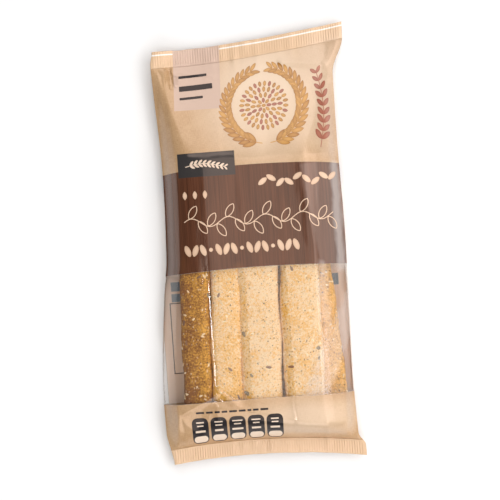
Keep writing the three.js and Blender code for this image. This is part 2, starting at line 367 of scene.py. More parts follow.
def fillAt(x, along):
    lowerEnd = mix(bagForm["sticksBottomLeft"], bagForm["sticksBottomRight"], ease((x + 45) / 80))
    lower = clamp((along - bottomSeal) / (lowerEnd - bottomSeal))
    upper = clamp((topSeal - along) / (topSeal - bagForm["sticksTop"]))
    tent = mix(upper, np.sin(math.pi / 2 * upper), bagForm["topTent"])
    return np.minimum(np.sin(math.pi / 2 * lower) ** bagForm["footPower"], tent)


def sealAt(x, along):
    height, (wave, length, start), (corner, middle, wide) = sealLies["bottom" if along < 0 else "top"]
    return height + wave * np.sin(x / length + start) + corner * bell((x - middle) / wide)


def creasesAt(x, along):
    strongest = np.zeros_like(x)
    for start, end, rise, leftWide, rightWide, fade in creases:
        fromX, fromY = x - start[0], along - start[1]
        dx, dy = end[0] - start[0], end[1] - start[1]
        t = clamp((fromX * dx + fromY * dy) / (dx * dx + dy * dy))
        away = np.hypot(fromX - t * dx, fromY - t * dy)
        onLeft = fromX * abs(dy) < fromY * dx * np.sign(dy)
        wide = np.where(onLeft, leftWide, rightWide)
        slope = clamp(1 - (np.sqrt(away ** 2 + 0.2) - 0.44) / wide) ** 1.5  # a rounded ridge
        pull = rise * slope * (1 - fade * t)
        strongest = np.where(np.abs(pull) > np.abs(strongest), pull, strongest)
    return strongest


def wavesAt(x, along):
    toSeal = max(min(along - bottomSeal, topSeal - along), 0)
    gather = bagForm["gather"] * math.exp(-toSeal / bagForm["gatherReach"]) * noise2(x / 3.4, along / 40, 4)
    slack = bagForm["slack"] * noise2(x / 17 + 30, along / 30 + 30, 5)
    ripple = bagForm["ripple"] * noise2((x + 0.4 * along) / 6 + 50, (along - 0.3 * x) / 12 + 50, 6)
    return gather + slack + ripple


def filmRow(across, along, side):
    form = bagForm
    left, right = through(leftFold, along), through(rightFold, along)
    x = mix(left, right, across)
    tilt = form["topTilt"] * x + form["topBow"] * (x / 57) ** 2
    bow = form["footBow"] * ((x + 9) / 50) ** 2
    y = along + tilt * ease((along - 50) / 60) - bow * ease((-100 - along) / 20)
    inside = np.minimum(x - left, right - x)
    fill, seal, fold = fillAt(x, along), sealAt(x, along), form["foldHeight"]
    half = form["sealThickness"] / 2 * clamp(inside / 2)
    if side == "back":
        flat = np.sqrt(1 - (1 - clamp(inside / form["foldRound"])) ** 2)
        down = ease((along - bottomSeal) / 10) * ease((topSeal - along) / 34)
        byFin = form["finWidth"] / 2 + form["finSlope"] - np.abs(x - form["finX"])
        resting = form["finThickness"] * ease(byFin / 4)
        return np.stack([x, y, mix(mix(seal, fold, fill), mix(seal - half, resting, down), flat)], 1)
    leftSide = [(left + reach, height) for reach, height in shoulder]
    section = through([(left, fold), *leftSide, *crests, (right, fold)], x)
    dips = sum(bell((x - dip) / form["tautWidth"]) for dip in form["tautAt"])
    section += form["taut"] * dips * ease((along + 25) / 15)
    toCut = min(form["cutTop"] - along, along - form["cutBottom"])
    pull = (creasesAt(x, along) + wavesAt(x, along)) * clamp(inside / 4) * clamp(toCut / 12)
    return np.stack([x, y, mix(seal, section, fill) + pull + half], 1)


def columnsOf(count):
    t = np.linspace(0, 1, count)
    return t - 0.045 * np.sin(2 * math.pi * t)


cellSize, cellCorner, cellCount = 0.8, np.array([-70, -135]), (350, 175)


def highest(field, axis, reach):
    for _ in range(reach):
        field = np.maximum.reduce([field, np.roll(field, 1, axis), np.roll(field, -1, axis)])
    return field


def softened(field, passes):
    for axis in [0, 1] * passes:
        field = (np.roll(field, 1, axis) + 2 * field + np.roll(field, -1, axis)) / 4
    return field


def topsOfSticks():  # highest point of any stick over each small cell of the drawing
    tops = np.zeros(cellCount)
    for shape in stickShapes.values():
        points = shape["points"].reshape(-1, 3)
        i, j = ((points[:, :2] - cellCorner) / cellSize).astype(int).T
        np.maximum.at(tops, (j, i), points[:, 2])
    return highest(highest(tops, 0, 1), 1, 1)


def readCells(field, x, y):
    u = np.clip((x - cellCorner[0]) / cellSize - 0.5, 0, field.shape[1] - 2.001)
    v = np.clip((y - cellCorner[1]) / cellSize - 0.5, 0, field.shape[0] - 2.001)
    i, j = u.astype(int), v.astype(int)
    low = mix(field[j, i], field[j, i + 1], u - i)
    return mix(low, mix(field[j + 1, i], field[j + 1, i + 1], u - i), v - j)


stickTops = topsOfSticks()
bridgedTops = softened(highest(highest(stickTops, 0, 6), 1, 1), 5)


def drapeOver(front):  # lifts the film wherever a stick would come through it
    over = readCells(bridgedTops, front[..., 0], front[..., 1]) + bagForm["overSticks"]
    gap = front[..., 2] - over
    soft, reach = bagForm["drapeBlend"], bagForm["drapeReach"]
    front[..., 2] += (np.sqrt(gap ** 2 + soft ** 2) - gap) / 2 * clamp((reach - gap) / 2)
    return np.exp(-np.maximum(gap, 0) / bagForm["touchReach"])


bagAlong = np.linspace(bottomSeal, topSeal, bagForm["rows"])
backAcross = columnsOf(bagForm["backColumns"])
backCount = len(backAcross)
frontCount = (backCount - 1) * bagForm["frontPerBack"] + 1
frontAcross = np.interp(np.linspace(0, 1, frontCount), np.linspace(0, 1, backCount), backAcross)
filmFront = np.array([filmRow(frontAcross, a, "front") for a in bagAlong])
filmBack = np.array([filmRow(backAcross, a, "back") for a in bagAlong])
filmTouch = drapeOver(filmFront)

# the drawing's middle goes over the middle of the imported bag
outline = np.concatenate([filmRow(frontAcross, a, "front")
                          for a in np.linspace(bagForm["cutBottom"], bagForm["cutTop"], 400)])
boxLow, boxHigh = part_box("film_bag")
boxMiddle = np.array([(boxLow[i] + boxHigh[i]) / 2 / millimetre for i in (0, 1)])
bagShift = np.append(boxMiddle - (outline.min(0) + outline.max(0))[:2] / 2, 0)
print("bag drawing placed, shift", bagShift.round(2), "film top", filmFront[..., 2].max().round(2))


def onFilm(x, along, lift):  # a point of the print, on the finished front film
    across = (x - through(leftFold, along)) / (through(rightFold, along) - through(leftFold, along))
    u = np.interp(across, frontAcross, np.arange(len(frontAcross)))
    v = (along - bottomSeal) / (topSeal - bottomSeal) * (len(bagAlong) - 1)
    i = np.clip(u.astype(int), 0, len(frontAcross) - 2)
    j = np.clip(v.astype(int), 0, len(bagAlong) - 2)
    fu, fv = (u - i)[..., None], (v - j)[..., None]
    a, b, c, d = filmFront[j, i], filmFront[j, i + 1], filmFront[j + 1, i], filmFront[j + 1, i + 1]
    out = np.cross(b - a + d - c, c - a + d - b)
    out /= np.linalg.norm(out, axis=-1, keepdims=True)
    return mix(mix(a, b, fu), mix(c, d, fu), fv) + out * lift


def makeTube(name, front, back, alongs, touch, foldSide, material):
    # front and back film that share their folds, closed by a flat strip at both ends
    rows, wide = front.shape[:2]
    narrow = back.shape[1]
    step = (wide - 1) // (narrow - 1)
    inner = back[:, 1:-1].reshape(-1, 3)
    points = np.concatenate([front.reshape(-1, 3), inner])
    backId = np.empty((rows, narrow), int)
    backId[:, 0] = np.arange(rows) * wide
    backId[:, -1] = backId[:, 0] + wide - 1
    backId[:, 1:-1] = rows * wide + np.arange(len(inner)).reshape(rows, -1)
    quads = np.stack([backId[:-1, :-1], backId[1:, :-1], backId[1:, 1:], backId[:-1, 1:]], -1)
    faces = gridFaces(rows, wide) + quads.reshape(-1, 4).tolist()
    sheetFaces = len(faces)
    for row in (0, rows - 1):
        for k in range(narrow - 1):
            over = range(row * wide + (k + 1) * step, row * wide + k * step - 1, -1)
            strip = [int(i) for i in dict.fromkeys([backId[row, k], backId[row, k + 1], *over])]
            faces.append(strip if row == 0 else strip[::-1])
    if alongs[-1] < alongs[0]:
        faces = [face[::-1] for face in faces]
    side = np.repeat([1.0, -1.0], [rows * wide, len(inner)])
    side[backId[:, [0, -1]]] = foldSide
    along = np.append(np.repeat(alongs, wide), np.repeat(alongs, narrow - 2))
    piece = makePiece(name, points, faces, material, filmPlace=np.stack([points[:, 0], along, side], 1),
                      touch=np.append(touch, np.zeros(len(inner))))
    for face in piece.data.polygons[sheetFaces:]:
        face.use_smooth = False
    return piece


def makeBag(material):
    piece = makeTube("film_skin", filmFront, filmBack, bagAlong, filmTouch, 0, material)
    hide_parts("film_bag", "window_film")


sealForm = {
    "columns": 320, "rows": 26,
    "ribPitch": 1.5, "ribDepth": 0.24, "ribWander": 0.6, "ribFade": 0.35,
    "flop": 0.5, "fineFlop": 0.22, "edgeSway": 0.4,
}


def makeSeal(name, line, cut, seed, material):
    form = sealForm
    across = columnsOf(form["columns"])
    t = np.linspace(0, 1, form["rows"])[:, None]  # from the seal's inner line to the cut
    alongs = mix(line, cut, t[:, 0])
    front, back = (np.array([filmRow(across, a, side) for a in alongs]) for side in ("front", "back"))
    x = front[..., 0]
    inside = np.minimum(x - x[:, :1], x[:, -1:] - x)
    ribs = np.sin(2 * math.pi * x / form["ribPitch"] + form["ribWander"] * noise2(x / 9, 0, seed))
    ribs *= form["ribDepth"] * ease(t * 5) * ease((1 - t) * 9) * clamp(inside / 3)
    ribs *= 1 - form["ribFade"] * (1 - noise2(x / 14, t * 2, seed + 1))
    flop = form["flop"] * noise2(x / 10, 3, seed + 2) + form["fineFlop"] * noise2(x / 3.5, 8, seed + 3)
    edge = form["edgeSway"] * noise2(x / 8, 5, seed + 4) * t * clamp(inside / 3)
    for sheet in (front, back):
        sheet[..., 2] += ribs + flop * t * clamp(inside / 4)
        sheet[..., 1] -= math.copysign(1, cut) * np.maximum(edge, 0)
    piece = makeTube(name, front, back, alongs, np.zeros(x.size), 1, material)
    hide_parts("film_bag")


finForm = {
    "columns": 14, "rows": 120,
    "gapToSeals": 0.5, "gapToFilm": 0.04, "thickness": 0.46, "ribDepth": 0.04, "ribTurn": 4,
}


def makeFin(material):
    form = finForm
    alongs = np.linspace(bottomSeal + form["gapToSeals"], topSeal - form["gapToSeals"], form["rows"])
    offsets = (np.linspace(0, 1, form["columns"]) - 0.5) * bagForm["finWidth"]
    top = []
    for a in alongs:
        left, right = through(leftFold, a), through(rightFold, a)
        top.append(filmRow((bagForm["finX"] + offsets - left) / (right - left), a, "back"))
    top = np.array(top)
    top[..., 2] -= form["gapToFilm"]
    low = top - (0, 0, form["thickness"])
    low[..., 2] += form["ribDepth"] * np.sin(alongs * form["ribTurn"])[:, None]
    section = np.concatenate([top, low[:, ::-1]], 1)  # once around the strip
    rows, around = section.shape[:2]
    faces = gridFaces(rows, around, ring=True)
    for i in range(form["columns"] - 1):
        end = np.array([i + 1, i, around - 1 - i, around - 2 - i])
        faces += [end.tolist(), (end[::-1] + (rows - 1) * around).tolist()]
    points = section.reshape(-1, 3)
    along = np.repeat(alongs, around)
    piece = makePiece("fin_seal", points, faces, material, smooth=False, touch=0 * along,
                      filmPlace=np.stack([points[:, 0], along, 0 * along - 1], 1))
    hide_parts("film_bag")

# film material

filmInk = {
    "kraft": (0.58, 0.38, 0.215), "kraftDeep": (0.46, 0.275, 0.135), "kraftSeal": (0.71, 0.49, 0.31),
    # the last two are painted light: a pale sheen colour for the kraft, and a pale highlight line at the
    # top cut edge
    "kraftSheenPaint": (0.82, 0.66, 0.50), "paintedEdgeHighlight": (0.93, 0.88, 0.82),
    # the last is a painted glow: the warm colour of bread seen through the ink
    "brown": (0.041, 0.011, 0.003), "brownLight": (0.125, 0.041, 0.018), "paintedBreadGlow": (0.26, 0.10, 0.025),
    "patch": (0.57, 0.41, 0.325), "label": (0.030, 0.029, 0.030), "panel": (0.79, 0.60, 0.46),
    "panelInk": (0.10, 0.09, 0.09), "panelSquare": (0.20, 0.25, 0.28), "frame": (0.02, 0.02, 0.02),
    # the colour of the painted reflection veil over the film
    "paintedVeilTint": (0.85, 0.80, 0.76),
    # where the printed edges lie at the bag's middle, and how far they bow at its sides
    "bandTop": (43.0, 2.6), "bandBottom": (-17.4, 2.2), "windowEnd": (-94.2, 0.9), "edgeBlur": 0.12,
    # the second and third set how strong the painted glow of bread through the ink is; the last how uneven
    # the painted reflection veil's edges are
    "sealBlur": 0.4, "touchGlowShare": 0.1, "spotGlowShare": 0.8, "barShare": 0.8, "paintedVeilWander": 8.0,
    "shine": 0.9, "darkShine": 0.35, "shineTint": (1, 0.76, 0.64), "rough": 0.14,
    "clearRough": 0.07, "clearTint": (1, 0.97, 0.95),
}
# printed fields: centre, size, then, where they have them, turn in degrees and soft edge
filmFields = {
    "patch": ((-30, 102), (28, 40), -1.72), "label": ((-27.6, 47.4), (34, 14.4)),
    # painted highlight: a pale line along the top cut edge
    "paintedEdgeHighlight": ((0, bagForm["cutTop"] - 2.2), (140, 0.8)),
    "paintedGlowSpot": ((-12.5, -16), (2, 4), 5.7, 3.5),   # painted glow: a warm spot where bread would shine through the dark ink
    "panel": ((-4.5, -31), (112, 127)), "bars": ((6, -42), (72, 88)),
    "frameOuter": ((-50, -55.5), (12, 43)), "frameInner": ((-50, -55.5), (10.9, 41.9)),
}
panelSquares = [((-51.8, -24.2), (5.5, 5.6)), ((-51.8, -31), (5.5, 5)), ((44.5, -26), (5, 7))]
barPitch = 3.1
# painted sheen: where the kraft print is made paler to stand for reflected light: centre, reach, how much
paintedSheenSpots = [((9, 88), (46, 52), 0.8), ((20, -106), (44, 15), 0.5)]
# painted reflection veil, a pale wash over the film where it would catch light: centre, size, turn in
# degrees, soft edge, how strong
paintedVeilPatches = [((36.5, -75), (90, 13), 62, 1.6, 0.2), ((37, -45), (5, 62), 0, 1.6, 0.22),
                ((49, 12), (6, 66), 0, 1.8, 0.3), ((47.5, 13.9), (64, 30), 98, 0.8, 0.06),
                ((50, 80), (26, 70), 0, 6, 0.14), ((48, -110), (34, 34), 0, 6, 0.12)]


def kraftGroup():
    tree, into, out = startGroup("kraftPrint", {"Place": "vector", "Light": "colour", "Deep": "colour"},
                                 {"Color": "colour"})
    across = streaksAt(tree, into["Place"], 0.4, 4.2, 3.0)
    down = streaksAt(tree, into["Place"], 4.2, 0.4, 3.0)
    clouds = streaksAt(tree, into["Place"], 0.05, 0.05, 2.0)
    share = ramp(tree, plus(tree, plus(tree, across, down), clouds), 1.25, 1.75)
    tree.links.new(blend(tree, share, into["Deep"], into["Light"]), out["Color"])
    return tree


def streakGroup():
    tree, into, out = startGroup("inkStreaks", {"Place": "vector", "Dark": "colour", "Light": "colour"},
                                 {"Color": "colour"})
    fine = streaksAt(tree, into["Place"], 1.1, 0.012, 3.0, 0.7)
    broad = streaksAt(tree, into["Place"], 0.10, 0.02, 1.0)
    share = ramp(tree, plus(tree, fine, times(tree, broad, 0.5)), 0.5, 0.98)
    tree.links.new(blend(tree, share, into["Dark"], into["Light"]), out["Color"])
    return tree


def filmWavesGroup():  # faint waves in the film itself, as a height
    tree, into, out = startGroup("filmWaves", {"Place": "vector"}, {"Height": "value"})
    soft = streaksAt(tree, into["Place"], 0.16, 0.06, 2.0, turn=0.3)
    fine = streaksAt(tree, into["Place"], 0.9, 0.25, 2.0, turn=0.25)
    tree.links.new(plus(tree, soft, times(tree, fine, 0.1)), out["Height"])
    return tree


kraftPrint, inkStreaks, filmWaves = kraftGroup(), streakGroup(), filmWavesGroup()


def wavyFilm(tree, place):
    return bumpOf(tree, useGroup(tree, filmWaves, Place=place)["Height"], 0.16, 0.0005)


def beyond(tree, x, along, edge):  # 1 above a printed edge that bows over the bag's crown
    level, bow = filmInk[edge]
    blur = filmInk["edgeBlur"]
    away = times(tree, times(tree, x, x), bow / 56 ** 2)
    return ramp(tree, minus(tree, plus(tree, along, away), bow), level - blur, level + blur)


def boxMask(tree, x, along, centre, size, turn=0.0, soft=0.15):
    c, s = math.cos(math.radians(turn)), math.sin(math.radians(turn))
    dx, dy = minus(tree, x, centre[0]), minus(tree, along, centre[1])
    u = plus(tree, times(tree, dx, c), times(tree, dy, s))
    v = minus(tree, times(tree, dy, c), times(tree, dx, s))
    inU, inV = (ramp(tree, calc(tree, "ABSOLUTE", way), reach / 2 + soft, reach / 2 - soft)
                for way, reach in zip((u, v), size))
    return times(tree, inU, inV)


def backPrint(tree, x, along, colour, onBack):  # pale panel with squares and rows of small bars
    ink, fields = filmInk, filmFields
    panel = times(tree, boxMask(tree, x, along, *fields["panel"]), onBack)
    colour = blend(tree, panel, colour, ink["panel"])
    rows = calc(tree, "DIVIDE", along, barPitch)
    spot = addNode(tree, "CombineXYZ", {0: times(tree, x, 0.22), 1: calc(tree, "FLOOR", rows)})[0]
    inRow = ramp(tree, calc(tree, "FRACT", rows), 0.36, 0.32)
    bars = times(tree, inRow, ramp(tree, noiseAt(tree, spot, 1.0, 1.0), 0.42, 0.44))
    bars = times(tree, times(tree, bars, boxMask(tree, x, along, *fields["bars"])), onBack)
    colour = blend(tree, times(tree, bars, ink["barShare"]), colour, ink["panelInk"])
    for square in panelSquares:
        mask = times(tree, boxMask(tree, x, along, *square), onBack)
        colour = blend(tree, mask, colour, ink["panelSquare"])
    outer, inner = (boxMask(tree, x, along, *fields[key]) for key in ("frameOuter", "frameInner"))
    return blend(tree, times(tree, minus(tree, outer, inner), onBack), colour, ink["frame"]), panel


def kraftColour(tree, x, along, place):
    ink = filmInk
    kraft = useGroup(tree, kraftPrint, Place=place, Light=ink["kraft"], Deep=ink["kraftDeep"])["Color"]
    # painted sheen: the kraft turns paler around each spot
    for centre, reach, most in paintedSheenSpots:
        u, v = (calc(tree, "DIVIDE", minus(tree, way, middle), far)
                for way, middle, far in zip((x, along), centre, reach))
        away = calc(tree, "SQRT", plus(tree, times(tree, u, u), times(tree, v, v)))
        kraft = blend(tree, ramp(tree, away, 1.0, 0.3, 0.0, most), kraft, ink["kraftSheenPaint"])
    blur = ink["sealBlur"]
    sealed = plus(tree, ramp(tree, along, topSeal - blur, topSeal + blur),
                  ramp(tree, along, bottomSeal + blur, bottomSeal - blur))
    kraft = blend(tree, sealed, kraft, ink["kraftSeal"])
    # painted highlight: a pale line along the top cut edge
    return blend(tree, boxMask(tree, x, along, *filmFields["paintedEdgeHighlight"]), kraft, ink["paintedEdgeHighlight"])


def bandColour(tree, x, along, place):  # dark ink, with a painted glow of bread colour where bread lies right under it
    ink = filmInk
    brown = useGroup(tree, inkStreaks, Place=place, Dark=ink["brown"], Light=ink["brownLight"])["Color"]
    # painted glow of bread colour where the film touches the bread
    touch = times(tree, attribute(tree, "touch")["Fac"], ink["touchGlowShare"])
    brown = blend(tree, touch, brown, ink["paintedBreadGlow"])
    paintedGlowSpot = boxMask(tree, x, along, *filmFields["paintedGlowSpot"])
    return blend(tree, times(tree, paintedGlowSpot, ink["spotGlowShare"]), brown, ink["paintedBreadGlow"])


# painted reflection veil: how much pale veil colour is laid over each spot of the front film
def paintedVeilShare(tree, x, along, place):
    cloud = minus(tree, streaksAt(tree, place, 0.11, 0.05, 3.0), 0.5)
    wander = calc(tree, "MULTIPLY_ADD", cloud, filmInk["paintedVeilWander"], x)  # makes the edges of the painted reflection veil uneven
    paintedVeil = 0.0
    for *patch, most in paintedVeilPatches:
        paintedVeil = calc(tree, "MAXIMUM", paintedVeil, times(tree, boxMask(tree, wander, along, *patch), most))
    return paintedVeil


def startFilmMaterial(name, shine):
    return startMaterial(name, Roughness=filmInk["rough"], Specular_IOR_Level=shine,
                         Specular_Tint=filmInk["shineTint"])


def printedFilmMaterial():
    ink = filmInk
    material, tree, shader = startFilmMaterial("printedFilm", ink["shine"])
    place = attribute(tree, "filmPlace")["Vector"]
    x, along, side = addNode(tree, "SeparateXYZ", {0: place})
    onBack = ramp(tree, side, -0.2, -0.4)
    onFront = minus(tree, 1.0, onBack)
    kraft, brown = kraftColour(tree, x, along, place), bandColour(tree, x, along, place)
    aboveBand, aboveWindow, aboveFoot = (beyond(tree, x, along, edge)
                                         for edge in ("bandTop", "bandBottom", "windowEnd"))
    colour = blend(tree, aboveWindow, kraft, blend(tree, aboveBand, brown, kraft))
    for field in ("patch", "label"):
        mask = times(tree, boxMask(tree, x, along, *filmFields[field]), onFront)
        colour = blend(tree, mask, colour, ink[field])
    colour, panel = backPrint(tree, x, along, colour, onBack)
    # painted reflection veil, mixed into the front film's colour
    paintedVeil = times(tree, paintedVeilShare(tree, x, along, place), onFront)
    colour = blend(tree, times(tree, paintedVeil, aboveFoot), colour, ink["paintedVeilTint"])
    clear = times(tree, aboveFoot, minus(tree, 1.0, aboveWindow))
    solid = calc(tree, "MAXIMUM", minus(tree, 1.0, clear), panel)
    # in the clear window the base colour is the painted reflection veil's colour
    tree.links.new(blend(tree, solid, ink["paintedVeilTint"], colour), shader.inputs["Base Color"])
    solid = calc(tree, "MAXIMUM", solid, paintedVeil)
    bump = wavyFilm(tree, place)
    tree.links.new(bump, shader.inputs["Normal"])
    see = addNode(tree, "BsdfTransparent")[0]
    film = {"Color": ink["clearTint"], "Roughness": ink["clearRough"], "Normal": bump}
    gloss = addNode(tree, "BsdfGlossy", film)[0]
    # the same shine on both faces of the film: 7 in 100 straight on, rising to a mirror edge-on
    facing = addNode(tree, "LayerWeight", {"Blend": 0.5, "Normal": bump})["Facing"]
    shine = ramp(tree, calc(tree, "POWER", facing, 5.0), 0.0, 1.0, 0.07, 0.9)
    clearFilm = addNode(tree, "MixShader", {0: shine, 1: see, 2: gloss})[0]
    whole = addNode(tree, "MixShader", {0: solid, 1: clearFilm, 2: shader.outputs[0]})[0]
    tree.links.new(whole, tree.nodes["Material Output"].inputs["Surface"])
    return material


print("film")
printedFilm = printedFilmMaterial()
makeBag(printedFilm)
makeSeal("seal_bottom", bottomSeal, bagForm["cutBottom"], 71, printedFilm)
makeSeal("seal_top", topSeal, bagForm["cutTop"], 72, printedFilm)
makeFin(printedFilm)

# bread material

crust = {
    "pale": (0.88, 0.63, 0.365), "gold": (0.82, 0.41, 0.05), "toasted": (0.25, 0.085, 0.010),
    "fleck": (0.95, 0.76, 0.48), "poreShade": (0.36, 0.23, 0.15), "speckDepth": 0.9,
    "poreScales": (0.55, 1.0),
    "clouds": ((0.85, 4.0, 2.3), (2.1, 2.0, 1.2), (0.13, 3.0, 1.2)),    # scale, detail, strength
}


def dotsAt(tree, place, scale, outer, inner, channel, rarity, most=1.0):
    # soft dots in random cells: where a dot ends and where it is full, and how rare and strong they are
    cells = addNode(tree, "TexVoronoi", {"Vector": place, "Scale": scale})
    chance = addNode(tree, "SeparateColor", {0: cells["Color"]})[channel]
    return times(tree, ramp(tree, cells["Distance"], outer, inner), ramp(tree, chance, *rarity, 0.0, most))


def breadMaterial():
    material, tree, shader = startMaterial("breadCrust", Roughness=0.72)
    place = attribute(tree, "crumbPlace")["Vector"]
    toast, toasting = (attribute(tree, name)["Fac"] for name in ("toast", "toasting"))
    bake = calc(tree, "MULTIPLY_ADD", toast, 0.5, toasting)
    for scale, detail, strength in crust["clouds"]:
        cloud = minus(tree, noiseAt(tree, place, scale, detail, 0.65), 0.5)
        bake = calc(tree, "MULTIPLY_ADD", cloud, strength, bake)
    colour = blend(tree, ramp(tree, bake, 0.0, 0.65), crust["pale"], crust["gold"])
    colour = blend(tree, ramp(tree, bake, 0.7, 1.45), colour, crust["toasted"])
    pores = 0.0
    for scale in crust["poreScales"]:
        pores = calc(tree, "MAXIMUM", pores, dotsAt(tree, place, scale, 0.3, 0.15, 0, (0.3, 0.9)))
    dark = blend(tree, 1.0, colour, crust["poreShade"], "MULTIPLY")
    colour = blend(tree, times(tree, pores, crust["speckDepth"]), colour, dark)
    chip = dotsAt(tree, stretched(tree, place, (0.8, 0.5, 0.8)), 1.0, 0.34, 0.2, 1, (0.62, 1.0), 0.7)
    tree.links.new(blend(tree, chip, colour, crust["fleck"]), shader.inputs["Base Color"])
    grain = minus(tree, noiseAt(tree, place, 2.6, 4.0, 0.7), pores)
    tree.links.new(bumpOf(tree, grain, 0.8, 0.0006), shader.inputs["Normal"])
    return material


print("sticks")
breadCrust = breadMaterial()
for name, shape in stickShapes.items():
    makeStick(name, shape, breadCrust)

# seeds

# how many on a stick, length, width, thickness, pointedness
seedKinds = {
    "sesame_seeds": (50, 2.2, 1.35, 0.8, 0.5),
    "flax_seeds": (4, 3.6, 1.9, 0.9, 0.4),
    "poppy_seeds": (13, 0.9, 0.8, 0.7, 0.1),
}
# x, place along the bag, length
sunflowerBits = [(-11.7, -55.1, 4.6), (-5.1, -73, 3.6), (-8.6, -80, 4.2), (-12.3, -90, 4.8), (21, -60, 3.4),
                 (30.5, -66, 4.4), (31, -72, 3.6), (-32, -30, 3.2), (2, -68, 2.6)]
bitForm = {"width": 0.62, "thickness": 1.1, "point": 0.5, "lump": 0.12, "sink": 0.35}
hiddenShare = 0.3   # how many seeds a stick has that others hide, as a share of the rest
seedSink = 0.15     # how deep a seed sits in the crust, as a share of its thickness
# light, dark, roughness
seedColours = {
    "sesame_seeds": ((0.90, 0.72, 0.47), (0.74, 0.50, 0.25), 0.5),
    "flax_seeds": ((0.20, 0.09, 0.04), (0.32, 0.15, 0.06), 0.35),
    "poppy_seeds": ((0.05, 0.036, 0.03), (0.13, 0.085, 0.06), 0.5),
    "sunflower_bits": ((0.22, 0.165, 0.10), (0.36, 0.27, 0.17), 0.55),
}


def seedMaterial(name, light, dark, roughness):
    material, tree, shader = startMaterial(name + "_skin", Roughness=roughness)
    tone = attribute(tree, "tone")["Fac"]
    tree.links.new(blend(tree, tone, light, dark), shader.inputs["Base Color"])
    return material


def seedPoints(length, width, thickness, point, lump, rng):
    rings, spokes = 5, 10
    v = np.linspace(0, math.pi, rings + 2)[1:-1, None]
    turn = np.arange(spokes) / spokes * 2 * math.pi
    taper = 1 - point * 0.5 * (1 + np.cos(v)) ** 1.5 / 1.6
    x = np.sin(v) * np.cos(turn) * width / 2 * taper
    z = np.sin(v) * np.sin(turn) * thickness / 2 * taper
    points = np.stack([x, np.cos(v) * length / 2 + 0 * turn, z], -1)
    points *= 1 + lump * rng.uniform(-1, 1, points.shape[:2])[..., None]
    tips = [[0, length / 2, 0], [0, -length / 2, 0]]
    return np.concatenate([points.reshape(-1, 3), tips]), closedFaces(rings, spokes)


def placeSeed(batch, kindSize, where, out, rng, lump=0.03):
    points, faces = seedPoints(*kindSize, lump, rng)
    out = out / np.linalg.norm(out)
    heading = rng.uniform(0, 2 * math.pi)
    side = np.cross(out, [math.cos(heading), math.sin(heading), 0.1])
    side /= np.linalg.norm(side)
    turned = points @ np.array([side, np.cross(out, side), out])
    start = sum(len(p) for p in batch["points"])
    batch["points"].append(turned + where - out * seedSink * kindSize[2])
    batch["faces"] += [[i + start for i in face] for face in faces]
    batch["tone"].append(np.full(len(points), rng.uniform()))


def makeSeeds():
    rng = np.random.default_rng(8)
    batches = {name: {"points": [], "faces": [], "tone": []} for name in seedColours}
    for name, shape in stickShapes.items():
        share = 1 if name in solidSticks else hiddenShare
        points = shape["points"]
        rows, ring = points.shape[:2]
        for kind, (count, *size, pointed) in seedKinds.items():
            for _ in range(int(count * share)):
                j, k = rng.integers(6, rows - 6), rng.integers(2, ring // 2 - 1)
                out = np.cross(points[j - 2, k] - points[j + 2, k], points[j, k - 2] - points[j, k + 2])
                seedSize = [*np.multiply(size, rng.uniform(0.8, 1.15)), pointed]
                placeSeed(batches[kind], seedSize, points[j, k], out if out[2] > 0 else -out, rng)
    for x, y, size in sunflowerBits:
        bit = (size, size * bitForm["width"], bitForm["thickness"], bitForm["point"])
        where = np.array([x, y, readCells(stickTops, np.array(x), np.array(y)) - bitForm["sink"]])
        placeSeed(batches["sunflower_bits"], bit, where, np.array([0.05, 0, 1]), rng, bitForm["lump"])
    for name, batch in batches.items():
        piece = makePiece(name, np.concatenate(batch["points"]), batch["faces"],
                          seedMaterial(name, *seedColours[name]), tone=np.concatenate(batch["tone"]))


print("seeds")
makeSeeds()

# printed ornament, laid on the film

printInks = {  # light, deep, and the lift above the film in millimetres
    "golden_print": ((0.64, 0.34, 0.09), (0.30, 0.115, 0.02), 0.09),
    "red_print": ((0.44, 0.17, 0.11), (0.26, 0.07, 0.045), 0.09),
    "cream_print": ((0.78, 0.56, 0.40), (0.62, 0.40, 0.26), 0.09),
    "dark_print": ((0.022, 0.020, 0.022), (0.05, 0.035, 0.03), 0.07),
    "pale_print": ((0.82, 0.66, 0.52), (0.74, 0.55, 0.42), 0.13),
}
sheets = {name: {"points": [], "faces": [], "place": [], "shade": []} for name in printInks}
printDraw = np.random.default_rng(21)


def printGrid(ink, points, faces, shade):
    sheet = sheets[ink]
    x, along = points.T
    start = sum(len(p) for p in sheet["points"])
    sheet["points"].append(onFilm(x, along, printInks[ink][2]))
    sheet["place"].append(np.stack([x, along, 1 + 0 * x], 1))
    sheet["shade"].append(shade)
    sheet["faces"] += [[i + start for i in face] for face in faces]


def towards(degrees):
    return np.array([math.cos(math.radians(degrees)), math.sin(math.radians(degrees))])


def almondRing(length, width, turn, fullness, count):  # turn in degrees, fullness 0.5 for an ellipse
    a = np.arange(count)[:, None] / count * 2 * math.pi
    u = np.cos(a) * length / 2
    v = np.sign(np.sin(a)) * np.abs(np.sin(a)) ** (2 * fullness) * width / 2
    return u * towards(turn) + v * towards(turn + 90)


def printOval(ink, centre, length, width, turn=0.0, fullness=0.5):
    rings, spokes = 3, 16
    r = np.linspace(0, 1, rings + 1)[1:]
    ring = almondRing(length, width, turn, fullness, spokes)
    points = np.append((r[:, None, None] * ring).ravel(), [0, 0]).reshape(-1, 2) + centre
    last = rings * spokes
    faces = gridFaces(rings, spokes, ring=True, flip=True)
    faces += [[last, i, (i + 1) % spokes] for i in range(spokes)]
    tone = printDraw.uniform(0, 0.45)
    printGrid(ink, points, faces, np.append(np.repeat(r ** 2 * 0.6, spokes), 0) + tone)


